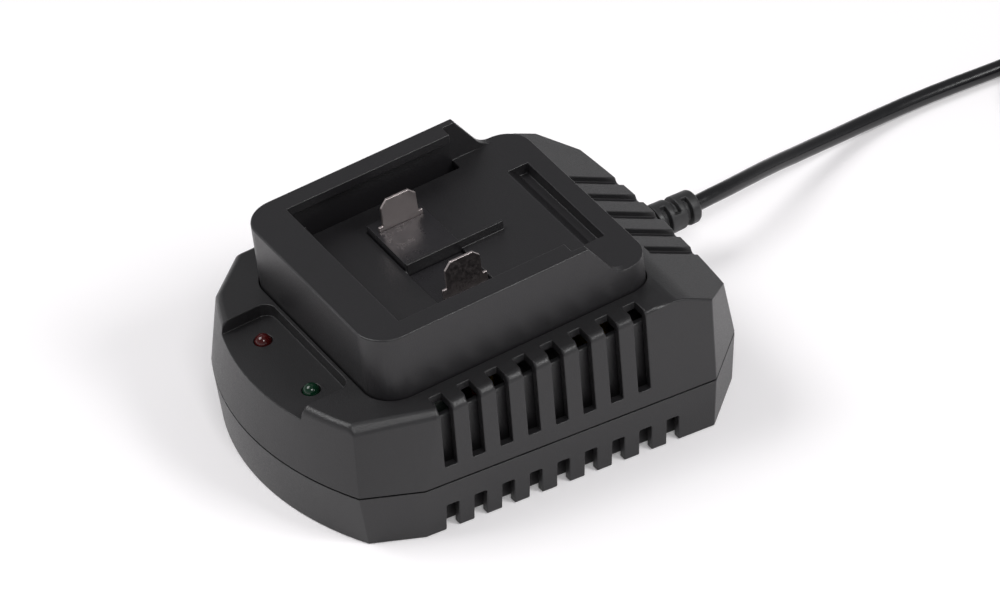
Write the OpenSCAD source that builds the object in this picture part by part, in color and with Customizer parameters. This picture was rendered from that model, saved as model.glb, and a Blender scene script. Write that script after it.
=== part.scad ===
// Power tool battery charger: two housing shells, a raised rail dock for a slide-on pack,
// the electronics inside, and a mains cord. Millimetres, +Z up. The origin lies under the
// middle of the housing, on the surface that it stands on. The lights face -Y, the cord +Y.

/* [Housing] */
// Width of the housing at the line where the shells meet
body_w = 100; // [96:0.5:110]
// Length of the housing at the line where the shells meet
body_l = 139.5; // [137:0.5:150]
// Height of the line where the shells meet
parting_h = 16.5; // [15:0.5:18]
// Height of the top surface half way along
top_h = 43.5; // [42:0.5:48]
// Rise of the top surface towards the rear, in degrees
top_tilt = 5.4; // [4.5:0.1:6]
// Wall thickness of both shells
wall = 2.5; // [2:0.1:2.8]
// Lean of the upper side walls, in degrees
side_draft = 5; // [3:0.5:6]
// Lean of the upper front wall, in degrees
front_draft = 7; // [6:0.5:9]
// Lean of the upper rear wall, in degrees
rear_draft = 14.5; // [12:0.5:15]
// Lean of the upper right front corner wall, in degrees
corner_draft = 10; // [6:0.5:10]
// Lean of the other upper corner walls, in degrees
small_draft = 3; // [2:0.5:4]
// Lean of the lower side and rear walls, in degrees
lower_draft = 3; // [1.5:0.5:4]
// Lean of the lower front wall, in degrees
lower_front_draft = 7; // [5:0.5:8]
// Radius of the curved front
front_r = 85.5; // [80:0.5:110]
// Distance of the middle of the curved front from the middle of the housing, towards +X
front_shift = 1.3; // [0:0.1:2.6]
// Radius of the slightly bowed rear
rear_r = 350; // [250:10:500]
// Distance from the front to where the right front corner wall meets the side
right_corner_l = 27.9; // [24:0.1:30]
// Angle between the right front corner wall and the side
right_corner_angle = 22; // [18:1:26]
// Distance from the front to where the left front corner wall meets the side
left_corner_l = 25; // [24:0.1:28]
// Angle between the left front corner wall and the side
left_corner_angle = 42; // [38:1:44]
// Distance from the rear to where the rear corner wall meets the side
rear_corner_l = 17.8; // [15:0.1:20]
// Bevel that softens the top edges
edge_bevel = 1.3; // [0.8:0.1:1.8]
// Height at which the rear slope would meet the rear end
slope_end_h = 35.2; // [33:0.1:37]
// Steepness of the rear slope, in degrees
slope_angle = 22.6; // [20:0.2:26]
// Radius that blends the top surface into the rear slope
slope_blend_r = 27; // [20:1:40]
// Height of the groove round the line where the shells meet
seam_h = 0.45; // [0.3:0.05:0.6]
// Depth of the groove round the line where the shells meet
seam_d = 0.9; // [0.6:0.1:1.2]

/* [Vents] */
// Number of vent slots in each side of the upper shell
slot_count = 8; // [5:1:8]
// Distance from one slot to the next
slot_pitch = 8.87; // [8:0.01:9]
// Width of a slot
slot_w = 3.9; // [3:0.1:4.5]
// Distance from the front of the housing to the first slot
slot_start = 34.7; // [34:0.1:38]
// Height of the lower end of the slots
slot_foot_h = 21.6; // [20:0.1:24]
// How far the slots reach in over the top surface
slot_reach = 6.2; // [5:0.1:7]
// Height of the notches in the foot of the lower shell
notch_h = 8.5; // [7:0.1:10]
// Distance from the outer face to the baffle wall behind the slots
baffle_setback = 4.9; // [4.2:0.1:5.5]
// Thickness of the baffle wall
baffle_t = 1.8; // [1.4:0.1:2.2]
// Depth of the top of the baffle wall under the top surface
baffle_drop = 4.5; // [4:0.1:6]
// Height of the floor plate's underside above the table
floor_lift = 1.5; // [1:0.1:2]
// Number of grooves in the rear slope
groove_count = 5; // [3:2:5]
// Distance from one groove to the next
groove_pitch = 10; // [8:0.5:11]
// Width of a groove
groove_w = 4; // [3:0.1:5]
// Depth of a groove
groove_d = 1.6; // [1:0.1:2]
// Distance from the rear end to the front end of the grooves
groove_start = 21.4; // [20:0.1:23]

/* [Light panel] */
// Width of the sunk panel for the lights
panel_w = 45.8; // [42:0.1:48]
// Depth of the sunk panel
panel_d = 4; // [3:0.1:4.5]
// Thickness of the panel floor
panel_t = 2; // [1.6:0.1:2.5]
// Rounding of the two rear corners of the panel
panel_r = 3.5; // [2:0.5:5]
// Distance between the two lights
led_gap = 26.9; // [24:0.1:30]
// Diameter of a light
led_d = 5; // [3:0.5:5.5]
// Distance from the front of the dock to the lights
led_setback = 9.2; // [8:0.1:10]

/* [Dock] */
// Distance from each side of the housing to the dock
dock_side_gap = 12.6; // [12:0.1:13]
// Distance from the front of the housing to the dock
dock_front_gap = 22.15; // [22:0.05:24]
// Distance from the rear of the housing to the dock
dock_rear_gap = 28.65; // [28:0.05:30]
// Distance from the dock's rear edge to the rear end of its side walls, at the top
rail_setback = 19.9; // [18:0.1:23]
// Height of the dock's walls above the top surface
dock_h = 20.9; // [20:0.1:23]
// Height of the dock's deck above the top surface
deck_h = 8.4; // [8:0.1:9.5]
// Thickness of the deck
deck_t = 2.4; // [2:0.1:2.8]
// Rounding of the dock's front corners
dock_front_r = 9.5; // [8:0.5:12]
// Rounding of the dock's rear corners
dock_rear_r = 8.5; // [6:0.5:10]
// Thickness of the outer walls of the rails
skin_t = 2.4; // [2:0.1:2.8]
// Width of a side wall together with the rail on it
rail_w = 6.4; // [6:0.1:6.8]
// Length of the block in front of the pocket
block_l = 12.1; // [11.5:0.1:13]
// Thickness of the rails that overhang the channels
rail_t = 3; // [2.5:0.1:3.5]
// Steepness of the rear ends of the side walls, in degrees
rail_end_angle = 57; // [50:1:65]
// Rounding where the rear ends of the side walls run out into the deck
rail_end_r = 6; // [4:0.5:8]
// How far the rails stop short of the side walls' rear ends
rail_stop = 3.9; // [3:0.1:5]
// Width of the groove that the pack's latch drops into
latch_w = 41.4; // [38:0.1:44]
// Length of the latch groove, front to rear
latch_l = 6.7; // [6:0.1:7.5]
// Depth of the latch groove
latch_d = 3.4; // [3:0.1:4]
// Distance from the dock's rear edge to the latch groove
latch_setback = 6; // [5:0.1:7]
// Height of the middle rib above the deck
rib_h = 2.8; // [2.4:0.1:3.2]
// Thickness of the middle rib
rib_t = 1.2; // [1:0.1:1.6]
// Gap between the dock and the opening in the top shell
dock_gap = 0.3; // [0.2:0.05:0.5]

/* [Terminals] */
// Distance between the two contact blades
blade_gap = 35; // [33:0.1:37]
// Thickness of a contact blade
blade_t = 0.8; // [0.6:0.1:1]
// Length of a contact blade, front to rear
blade_l = 11.3; // [10:0.1:12]
// Length of a blade's foot
blade_foot_l = 14.2; // [13.5:0.1:15]
// Width of the openings in the deck round the blades
window_w = 21.8; // [21:0.1:22.5]
// Length of the openings in the deck round the blades
window_l = 17.5; // [17:0.1:18]
// Distance from the middle to the front end of the openings
window_front = 16.6; // [16:0.1:17]
// Height of the left half of the terminal holder above the deck
holder_step = 2.3; // [1.8:0.1:2.4]
// Clearance of the holder in the openings
holder_gap = 0.2; // [0.1:0.05:0.3]

/* [Circuit board] */
// Width of the circuit board
board_w = 66; // [62:1:66]
// Distance from the front of the housing to the circuit board
board_front_gap = 17.75; // [17:0.25:19]
// Distance from the rear of the housing to the circuit board
board_rear_gap = 23.75; // [23:0.25:25]
// Thickness of the circuit board
board_t = 1.6; // [1.2:0.1:2]
// Height of the posts that carry the board, above the floor plate
board_post_h = 5; // [4:0.5:6]
// Height of the transformer
transformer_h = 17; // [15:0.5:18]
// Diameter of the mains capacitor
mains_cap_d = 14; // [12:0.5:15]
// Length of the mains capacitor
mains_cap_l = 22; // [20:0.5:23]
// Diameter of an output capacitor
output_cap_d = 8; // [6:0.5:9]
// Height of an output capacitor
output_cap_h = 14; // [12:0.5:15]

/* [Screws] */
// Diameter of the housing screws
screw_d = 3; // [2.5:0.1:3.2]
// Outer diameter of the screw bosses
boss_d = 8; // [7.5:0.1:8.5]
// Distance from the middle to the screws, across
boss_x = 38.5; // [38:0.1:39]
// Distance from the front of the housing to the front screws
boss_front = 21.5; // [21:0.05:22.5]
// Distance from the rear of the housing to the rear screws
boss_rear = 21.75; // [21:0.05:23]

/* [Cord] */
// Diameter of the mains cord
cord_d = 4.8; // [4.8:0.1:5]
// Distance of the cord's exit from the middle, towards -X
exit_x = 22; // [20:0.5:24]
// Length of the strain relief outside the housing
relief_l = 20.4; // [20:0.1:24]
// Diameter of the strain relief at the housing
relief_d = 11; // [10:0.1:12]
// Diameter of the strain relief at its outer end
relief_tip_d = 10; // [9:0.1:10.5]
// Width of the cuts that let the strain relief bend
relief_cut_w = 1.85; // [1.2:0.05:2]
// Distance from one cut to the next
relief_pitch = 3.75; // [3.4:0.05:4]
// Turns of the coil in each of its two layers
coil_turns = 3.5; // [2.5:1:3.5]
// Radius of the innermost turn of the coil
coil_inner_r = 19.6; // [19.2:0.1:22]
// Distance from one turn or layer of the coil to the next
coil_pitch = 5.3; // [5.3:0.1:5.6]
// Length of the plug's body
plug_l = 34; // [30:1:38]
// Width of the plug's body at its pins
plug_w = 30; // [26:1:35]
// Thickness of the plug's body
plug_t = 13.5; // [13:0.1:14]
// Length of a plug pin
pin_l = 19; // [19:0.5:20]
// Diameter of a plug pin
pin_d = 4; // [4:0.1:4.8]
// Distance between the two plug pins
pin_gap = 18.6; // [18.6:0.1:19]

/* [Hidden] */
$fn = 64;

big = 400;
front_y = -body_l / 2;
rear_y = body_l / 2;
side_x = body_w / 2;
charcoal = [0.17, 0.17, 0.18];
sides = [-1, 1];

// The lower end of the baffle follows the inner face of the lower shell.
baffle_x = side_x - baffle_setback;
floor_top = floor_lift + wall;
board_z = floor_top + board_post_h;
board_front = front_y + board_front_gap;
board_rear = rear_y - board_rear_gap;
board_l = board_rear - board_front;
post_ys = [board_front + 8, board_rear - 20];
board_top = board_z + board_t;
slot_first_y = front_y + slot_start;
slot_last_y = slot_first_y + slot_count * slot_pitch + slot_w;
boss_front_y = front_y + boss_front;
boss_rear_y = rear_y - boss_rear;
dock_w = body_w - 2 * dock_side_gap;
dock_front = body_l / 2 - dock_front_gap;
dock_rear = body_l / 2 - dock_rear_gap;
rail_rear = dock_rear - rail_setback;
pocket_w = dock_w - 2 * rail_w;
pocket_front = dock_front - block_l;
post_x = board_w / 2 - 4;
pillar_x = dock_w / 2 - 1.6;
pillar_d = 5;
pillar_ys = [-dock_front + 13.6, dock_rear - 7.1];
flange_t = 2;
flange_reach = 1.8;
dock_foot = -wall - flange_t;
deck_under = deck_h - deck_t;
led_u = -dock_front - led_setback;
led_collar_h = 1;
blade_u = -window_front + window_l / 2;
blade_top = dock_h - 0.15;
holder_t = 2;
holder_top = deck_h + holder_step;
clamp_hole_x = 7.5;
clamp_foot = parting_h + cord_d / 2 - 0.2;
relief_turn = 5;
relief_inner = 14;
relief_inner_y = rear_y - relief_inner;
clamp_y = relief_inner_y - 4;
relief_seat_wall = 12;
relief_sunk = 1.5;
screw_seat_h = 9;

// ---- Shared forms -------------------------------------------------------------------------

// The frame of the sloping top: x across, y along the slope, z square to it.
module tilted() {
  translate([0, 0, top_h])
    rotate([top_tilt, 0, 0])
      children();
}

// Everything inside a wall at distance `reach` in direction `dir`, leaning in by `draft`
// above the parting line, and moved in by `inset`.
module inside_wall(reach, dir, draft, inset) {
  rotate([0, 0, dir])
    translate([reach, 0, parting_h])
      rotate([0, -draft, 0])
        translate([-big - inset, -big / 2, -big / 2])
          cube([big, big, big]);
}

right_corner_reach = side_x * cos(right_corner_angle)
  + (body_l / 2 - right_corner_l) * sin(right_corner_angle);
left_corner_reach = side_x * cos(left_corner_angle)
  + (body_l / 2 - left_corner_l) * sin(left_corner_angle);
rear_corner_reach = (side_x + rear_y - rear_corner_l) * cos(45);

// A drafted cone whose wall passes through the parting line.
module inside_cone(radius, x, y, draft, inset, height) {
  slant = inset / cos(draft);
  grow = height * tan(draft);
  translate([x, y, parting_h])
    if (height > 0)
      cylinder(h = height, r1 = radius - slant, r2 = radius - slant - grow, $fn = 180);
    else
      translate([0, 0, height])
        cylinder(h = -height, r1 = radius - slant - grow, r2 = radius - slant, $fn = 180);
}

// Side view of the upper shell: sloping top, rear slope and the blend between them.
module upper_profile(inset) {
  apex_y = (slope_end_h + rear_y * tan(slope_angle) - top_h) / (tan(top_tilt) + tan(slope_angle));
  apex_z = top_h + apex_y * tan(top_tilt);
  turn = top_tilt + slope_angle;
  run = slope_blend_r * tan(turn / 2);
  far = rear_y + 10;
  near = front_y - 10;
  start = [apex_y - run * cos(top_tilt), apex_z - run * sin(top_tilt)];
  end = [apex_y + run * cos(slope_angle), apex_z - run * sin(slope_angle)];
  centre = start + slope_blend_r * [sin(top_tilt), -cos(top_tilt)];
  translate([0, -inset])
    intersection() {
      polygon([
        [near, -big / 4], [near, top_h + near * tan(top_tilt)], [apex_y, apex_z],
        [far, apex_z - (far - apex_y) * tan(slope_angle)], [far, -big / 4]
      ]);
      union() {
        polygon([
          [near, -big / 4], [near, top_h + near * tan(top_tilt)], start, end,
          [far, apex_z - (far - apex_y) * tan(slope_angle)], [far, -big / 4]
        ]);
        translate(centre)
          circle(r = slope_blend_r, $fn = 180);
      }
    }
}

// The outer form of the upper shell, or the same form moved in by `inset`.
module upper_form(inset) {
  height = top_h;
  intersection() {
    translate([-big / 2, 0, 0])
      rotate([90, 0, 90])
        linear_extrude(big)
          upper_profile(inset);
    inside_walls(side_draft, corner_draft, small_draft, inset);
    inside_cone(front_r, front_shift, front_y + front_r, front_draft, inset, height);
    inside_cone(rear_r, 0, rear_y - rear_r, rear_draft, inset, height);
    softened_edges(inset);
  }
}

// The side walls and the four corner walls.
module inside_walls(side, right, other, inset) {
  intersection() {
    inside_wall(side_x, 0, side, inset);
    inside_wall(side_x, 180, side, inset);
    inside_wall(right_corner_reach, -right_corner_angle, right, inset);
    inside_wall(left_corner_reach, 180 + left_corner_angle, other, inset);
    inside_wall(rear_corner_reach, 45, other, inset);
    inside_wall(rear_corner_reach, 135, other, inset);
  }
}

// The bevel along the top edges, drawn square to the sloping top.
module softened_edges(inset) {
  lean = top_h - parting_h;
  side_edge = side_x - lean * tan(side_draft) - edge_bevel;
  right_edge = right_corner_reach - lean * tan(corner_draft) - edge_bevel + 0.6;
  left_edge = left_corner_reach - lean * tan(small_draft) - edge_bevel + 0.2;
  front_edge = front_r - lean * tan(front_draft) - edge_bevel + 1.2;
  tilted()
    translate([0, 0, -inset])
      intersection() {
        bevel_plane(side_edge - inset / 2, 0);
        bevel_plane(side_edge - inset / 2, 180);
        bevel_plane(right_edge - inset / 2, -right_corner_angle);
        bevel_plane(left_edge - inset / 2, 180 + left_corner_angle);
        translate([front_shift, front_y + front_r, -front_r / 2])
          cylinder(h = front_r, r1 = front_edge + front_r / 2, r2 = front_edge - front_r / 2, $fn = 180);
      }
}

// Everything under a 45 degree plane that meets the top surface at `reach` in direction `dir`.
module bevel_plane(reach, dir) {
  rotate([0, 0, dir])
    translate([reach, 0, 0])
      rotate([0, -45, 0])
        translate([-big, -big / 2, -big / 2])
          cube([big, big, big]);
}

// The outer form of the lower shell, or the same form moved in by `inset`.
module lower_form(inset) {
  intersection() {
    inside_walls(-lower_draft, -lower_draft, -lower_draft, inset);
    inside_cone(front_r, front_shift, front_y + front_r, -lower_front_draft, inset, -parting_h);
    inside_cone(rear_r, 0, rear_y - rear_r, -lower_draft, inset, -parting_h);
    translate([-big / 2, -big / 2, 0])
      cube([big, big, parting_h]);
  }
}

// A plate's outline with its own rounding at the front and at the rear corners.
module rounded_outline(half_w, front, rear, front_round, rear_round) {
  translate([-half_w, front + front_round])
    square([2 * half_w, rear - front - front_round - rear_round]);
  translate([-half_w + front_round, front])
    square([2 * (half_w - front_round), front_round]);
  translate([-half_w + rear_round, rear - rear_round])
    square([2 * (half_w - rear_round), rear_round]);
  for (s = sides) {
    translate([s * (half_w - front_round), front + front_round])
      circle(r = front_round);
    translate([s * (half_w - rear_round), rear - rear_round])
      circle(r = rear_round);
  }
}

module dock_outline(grow = 0) {
  rounded_outline(
    dock_w / 2 + grow, -dock_front - grow, dock_rear + grow,
    dock_front_r + grow, dock_rear_r + grow
  );
}

// A bar along X with the given outline in the plane of Y and Z.
module across(width) {
  translate([-width / 2, 0, 0])
    rotate([90, 0, 90])
      linear_extrude(width)
        children();
}

module at_bosses() {
  for (s = sides) {
    translate([s * boss_x, boss_front_y, 0])
      children();
    translate([s * boss_x, boss_rear_y, 0])
      children();
  }
}

// ---- Housing ------------------------------------------------------------------------------

module vent_slots() {
  inner = side_x - (top_h - parting_h) * tan(side_draft) - slot_reach;
  for (s = sides)
    for (k = [0 : slot_count - 1])
      translate([s > 0 ? inner : -big / 4 - inner, slot_first_y + k * slot_pitch, slot_foot_h])
        cube([big / 4, slot_w, big / 4]);
}

module slope_grooves() {
  groove_z = slope_end_h;
  for (k = [0 : groove_count - 1])
    translate([(k - (groove_count - 1) / 2) * groove_pitch - groove_w / 2, rear_y, groove_z])
      rotate([-slope_angle, 0, 0])
        translate([0, -groove_start / cos(slope_angle), -groove_d])
          cube([groove_w, big / 4, 2 * groove_d]);
}

// Sunk floor for the lights, open at the front wall.
module panel_space(grow, depth, top) {
  rear = -dock_front - 1.5 + grow;
  tilted()
    translate([0, 0, -depth])
      linear_extrude(depth + top)
        rounded_outline(panel_w / 2 + grow, rear - big / 4, rear, 1, panel_r + grow);
}

// Half-round seat of the strain relief, and the way in for the cord.
module relief_seat() {
  seats = [
    [relief_inner_y, relief_inner + 6, relief_d - 2.4],
    [relief_inner_y + 5, 2.2, relief_d + 0.4],
    [rear_y - relief_sunk - 0.3, 4, relief_d + 0.4]
  ];
  for (seat = seats)
    translate([-exit_x, seat[0], parting_h])
      rotate([-90, 45, 0])
        cylinder(h = seat[1], d = seat[2]);
}

// The block inside the rear wall that holds the strain relief.
module relief_block(z, height) {
  translate([-exit_x - 8, rear_y - relief_seat_wall, z])
    cube([16, relief_seat_wall, height]);
}

module upper_housing() {
  color(charcoal)
    difference() {
      union() {
        difference() {
          upper_shell_half(0);
          upper_form(wall);
        }
        intersection() {
          upper_shell_half(0);
          union() {
            panel_space(panel_t - 0.8, panel_d + panel_t, -1);
            relief_block(parting_h, 9);
            at_bosses()
              translate([0, 0, parting_h])
                cylinder(h = top_h, d = boss_d);
          }
        }
      }
      tilted()
        translate([0, 0, -12])
          linear_extrude(40)
            dock_outline(dock_gap);
      panel_space(0, panel_d, 20);
      for (s = sides)
        tilted()
          translate([s * led_gap / 2, led_u, -20])
            cylinder(h = 40, d = led_d + 0.3);
      vent_slots();
      slope_grooves();
      relief_seat();
      at_bosses()
        translate([0, 0, parting_h - 1])
          cylinder(h = 12, d = screw_d - 0.6);
    }
}

module upper_shell_half(inset) {
  intersection() {
    upper_form(inset);
    translate([-big / 2, -big / 2, parting_h])
      cube([big, big, big]);
  }
}

module lower_housing() {
  color(charcoal)
    difference() {
      union() {
        difference() {
          lower_form(0);
          lower_form(wall);
        }
        intersection() {
          lower_form(0);
          translate([-baffle_x, -big / 2, floor_lift])
            cube([2 * baffle_x, big, wall]);
        }
        intersection() {
          lower_form(0);
          union() {
            relief_block(floor_lift, parting_h - floor_lift);
            at_bosses()
              translate([0, 0, floor_lift])
                cylinder(h = parting_h - floor_lift, d = boss_d);
            end_floors();
          }
        }
        baffles();
        board_posts();
        dock_pillars();
        clamp_posts();
      }
      at_clamp_screws()
        cylinder(h = 3 * clamp_screw_l, d = clamp_screw_d, center = true);
      skirt_notches();
      seam_groove();
      relief_seat();
      at_bosses() {
        translate([0, 0, -1])
          cylinder(h = parting_h + 2, d = screw_d + 0.4);
        translate([0, 0, -1])
          cylinder(h = screw_seat_h + 1, d = screw_d * 2 + 0.4);
      }
      for (x = [-post_x, post_x], y = post_ys)
        translate([x, y, floor_top])
          cylinder(h = board_post_h + 1, d = 2);
    }
}

// Step round the outer rim of the lower shell that leaves a narrow groove between the shells.
module seam_groove() {
  difference() {
    translate([-big / 2, -big / 2, parting_h - seam_h])
      cube([big, big, seam_h]);
    lower_form(seam_d);
  }
}

// The floor plate runs out to the wall in front of and behind the vented stretch.
module end_floors() {
  translate([-side_x, front_y, floor_lift])
    cube([body_w, slot_first_y - 2 - front_y, wall]);
  translate([-side_x, slot_last_y + 2, floor_lift])
    cube([body_w, rear_y - slot_last_y - 2, wall]);
}

module skirt_notches() {
  for (s = sides)
    for (k = [0 : slot_count])
      translate([
        s > 0 ? baffle_x : -baffle_x - 2 * baffle_setback,
        slot_first_y + k * slot_pitch,
        -1
      ])
        cube([2 * baffle_setback, slot_w, notch_h + 1]);
}

// Upright walls just behind the slots, which keep fingers and water out.
module baffles() {
  start = slot_first_y - 2;
  intersection() {
    for (s = sides)
      translate([s > 0 ? baffle_x - baffle_t : -baffle_x, start, 0])
        cube([baffle_t, slot_last_y + 2 - start, big]);
    tilted()
      translate([-big / 2, -big / 2, -big - baffle_drop])
        cube([big, big, big]);
  }
}

module board_posts() {
  for (x = [-post_x, post_x], y = post_ys)
    translate([x, y, floor_lift])
      cylinder(h = board_post_h + wall, d = 6);
}

// Pillars that hold the dock up against the top shell.
module dock_pillars() {
  intersection() {
    for (s = sides, y = pillar_ys)
      translate([s * pillar_x, y, floor_lift])
        cylinder(h = top_h, d = pillar_d);
    tilted()
      translate([-big / 2, -big / 2, -big + dock_foot])
        cube([big, big, big]);
  }
}

// ---- Dock ---------------------------------------------------------------------------------

// Side view of the dock, with the side walls running out into the deck.
module dock_profile() {
  drop = dock_h - deck_h;
  corner = rail_rear + drop / tan(rail_end_angle);
  tangent = rail_end_r / tan((180 - rail_end_angle) / 2);
  polygon([
    [-dock_front - 2, dock_foot], [-dock_front - 2, dock_h], [rail_rear, dock_h],
    [corner, deck_h], [dock_rear + 2, deck_h], [dock_rear + 2, dock_foot]
  ]);
  difference() {
    polygon([
      [corner - tangent * cos(rail_end_angle), deck_h + tangent * sin(rail_end_angle)],
      [corner + tangent, deck_h],
      [corner - 0.5, deck_h - 0.5]
    ]);
    translate([corner + tangent, deck_h + rail_end_r])
      circle(r = rail_end_r);
  }
}

// The space under the deck, and the taller one in the block at the front.
module dock_hollow() {
  difference() {
    translate([0, 0, dock_foot - 1])
      linear_extrude(dock_h - skin_t - dock_foot + 1)
        dock_outline(-skin_t);
    translate([-big / 2, -pocket_front - skin_t, deck_under])
      cube([big, big, big]);
  }
}

module dock_channels() {
  half = dock_w / 2 - skin_t;
  slot_front = -pocket_front + 6.6;
  slot_rear = rail_rear - 2.3;
  translate([-half, -pocket_front, deck_h])
    cube([2 * half, big, dock_h - rail_t - deck_h]);
  translate([-half, rail_rear - rail_stop, deck_h])
    cube([2 * half, big, big]);
  for (s = sides)
    translate([s > 0 ? pocket_w / 2 : -half, slot_front, deck_h - 2 * deck_t])
      cube([half - pocket_w / 2, slot_rear - slot_front, 3 * deck_t]);
}

// Groove with a ramp at its front and a steep rear face.
module latch_groove() {
  rear = dock_rear - latch_setback;
  across(latch_w)
    polygon([
      [rear - latch_l, deck_h], [rear - latch_l * 0.45, deck_h - latch_d],
      [rear - 0.3, deck_h - latch_d], [rear, deck_h], [rear, deck_h + 1],
      [rear - latch_l, deck_h + 1]
    ]);
}

module latch_backing() {
  rear = dock_rear - latch_setback;
  translate([-latch_w / 2 - 2, rear - latch_l - 2, deck_h - latch_d - 2])
    cube([latch_w + 4, latch_l + 4, latch_d + 1]);
}

module battery_dock() {
  color(charcoal)
    tilted()
      difference() {
        union() {
          difference() {
            union() {
              intersection() {
                translate([0, 0, dock_foot])
                  linear_extrude(dock_h - dock_foot)
                    dock_outline();
                across(big)
                  dock_profile();
              }
              translate([0, 0, dock_foot])
                linear_extrude(flange_t)
                  rounded_outline(
                    dock_w / 2 + flange_reach, -dock_front + 4, dock_rear - 7.6, 2, 2
                  );
            }
            dock_hollow();
            translate([-pocket_w / 2, -pocket_front, deck_h])
              cube([pocket_w, big, big]);
            dock_channels();
          }
          latch_backing();
          translate([-rib_t / 2, -window_front, deck_under])
            cube([rib_t, window_l + 13.8, deck_t + rib_h]);
          for (s = sides)
            translate([s * holder_ear_x, blade_u, holder_ear_z])
              cylinder(h = deck_under - holder_ear_z + 0.5, d = 5);
        }
        latch_groove();
        for (s = sides) {
          translate([s > 0 ? rib_t / 2 : -rib_t / 2 - window_w, -window_front, deck_under - 1])
            cube([window_w, window_l, deck_t + 2]);
          translate([s * holder_ear_x, blade_u, holder_ear_z - 1])
            cylinder(h = 5, d = holder_screw_d - 0.5);
        }
      }
}

// ---- Terminals ----------------------------------------------------------------------------

holder_ear_x = pocket_w / 2 - 3;
holder_ear_z = deck_under - 4.5;
holder_screw_d = 2.5;
holder_half = rib_t / 2 + window_w + 1.6;

// Insulating block under the deck. Its left half stands proud of the deck round the blade.
module terminal_holder() {
  front = -window_front + holder_gap;
  length = window_l - 2 * holder_gap;
  width = window_w - 2 * holder_gap;
  color([0.1, 0.1, 0.11])
    tilted()
      difference() {
        union() {
          translate([-holder_half, front - 2, deck_under - holder_t])
            cube([2 * holder_half, length + 4, holder_t]);
          translate([-rib_t / 2 - holder_gap - width, front, deck_under - 1])
            cube([width, length, holder_top - deck_under + 1]);
          translate([rib_t / 2 + holder_gap, front, deck_under - 1])
            cube([width, length, deck_t]);
          for (s = sides) {
            translate([s > 0 ? holder_half - 2 : -holder_ear_x - 3, blade_u - 4, holder_ear_z - holder_t])
              cube([holder_ear_x + 5 - holder_half, 8, holder_t]);
            translate([s > 0 ? holder_half - 2 : -holder_half, blade_u - 4, holder_ear_z - holder_t])
              cube([2, 8, deck_under - holder_ear_z + holder_t]);
          }
        }
        for (s = sides) {
          translate([s * blade_gap / 2 - blade_t / 2, blade_u - blade_foot_l / 2, 0])
            cube([blade_t, blade_foot_l, big]);
          translate([s * holder_ear_x, blade_u, 0])
            translate([0, 0, -10])
              cylinder(h = 20, d = holder_screw_d + 0.3);
        }
      }
}

// Upright blade with clipped top corners, standing on a wider foot.
module terminal_blade() {
  half = blade_l / 2;
  foot = blade_foot_l / 2;
  tail = 2;
  foot_h = holder_top + 1.5;
  translate([-blade_t / 2, blade_u, 0])
    rotate([90, 0, 90])
      linear_extrude(blade_t)
        polygon([
          [-tail, deck_under - 7], [-tail, deck_under - holder_t], [-foot, deck_under - holder_t],
          [-foot, foot_h], [-half - 0.1, foot_h], [-half, blade_top - 2.4],
          [-half + 2.1, blade_top], [half - 2.1, blade_top], [half, blade_top - 2],
          [half + 0.1, foot_h], [foot, foot_h], [foot, deck_under - holder_t],
          [tail, deck_under - holder_t], [tail, deck_under - 7]
        ]);
}

module left_terminal() {
  color([0.75, 0.74, 0.72])
    tilted()
      translate([-blade_gap / 2, 0, 0])
        terminal_blade();
}

module right_terminal() {
  color([0.75, 0.74, 0.72])
    tilted()
      translate([blade_gap / 2, 0, 0])
        terminal_blade();
}

// ---- Lights -------------------------------------------------------------------------------

// Round-headed light with its collar under the panel and two legs down to the board.
module led(s) {
  floor_w = -panel_d - panel_t;
  head = led_d / 2;
  tilted()
    translate([s * led_gap / 2, led_u, floor_w]) {
      translate([0, 0, -led_collar_h])
        cylinder(h = led_collar_h, d = led_d + 0.9);
      cylinder(h = panel_t - 0.6, d = led_d);
      translate([0, 0, panel_t - 0.6])
        intersection() {
          sphere(r = head);
          cylinder(h = head, r = head);
        }
    }
  for (y = [-1.27, 1.27])
    translate([s * led_gap / 2 - 0.25, led_leg_y + y - 0.25, board_top])
      cube([0.5, 0.5, led_leg_top - board_top]);
}

led_leg_y = led_u * cos(top_tilt) + (panel_d + panel_t + led_collar_h) * sin(top_tilt);
led_leg_top = top_h + led_u * sin(top_tilt) - (panel_d + panel_t + led_collar_h / 2) * cos(top_tilt);

module red_led() {
  color([0.55, 0.05, 0.05])
    led(-1);
}

module green_led() {
  color([0.05, 0.3, 0.12])
    led(1);
}

// ---- Electronics --------------------------------------------------------------------------

module on_board(x, y) {
  translate([x, y, board_top])
    children();
}

module circuit_board() {
  front_w = led_gap + 12;
  color([0.12, 0.3, 0.16])
    difference() {
      union() {
        translate([-board_w / 2, board_front, board_z])
          cube([board_w, board_l, board_t]);
        translate([-front_w / 2, board_front - 7, board_z])
          cube([front_w, 8, board_t]);
      }
      for (s = sides, y = pillar_ys)
        translate([s * pillar_x, y, board_z - 1])
          cylinder(h = board_t + 2, d = pillar_d + 1);
      for (x = [-post_x, post_x], y = post_ys)
        translate([x, y, board_z - 1])
          cylinder(h = board_t + 2, d = 3);
    }
}

core_w = 25;
core_l = 21;
core_x = 12;
core_y = 8;
core_leg = 4;

module transformer_core() {
  color([0.2, 0.2, 0.2])
    on_board(core_x, core_y)
      translate([0, 0, 1])
        difference() {
          translate([-core_w / 2, -core_l / 2, 0])
            cube([core_w, core_l, transformer_h]);
          for (s = sides)
            translate([s > 0 ? core_leg : -core_w / 2 + core_leg, -core_l, core_leg])
              cube([core_w / 2 - 2 * core_leg, 2 * core_l, transformer_h - 2 * core_leg]);
        }
}

window_gap = 0.2;
coil_w = core_w / 2 - 2 * core_leg;

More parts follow.
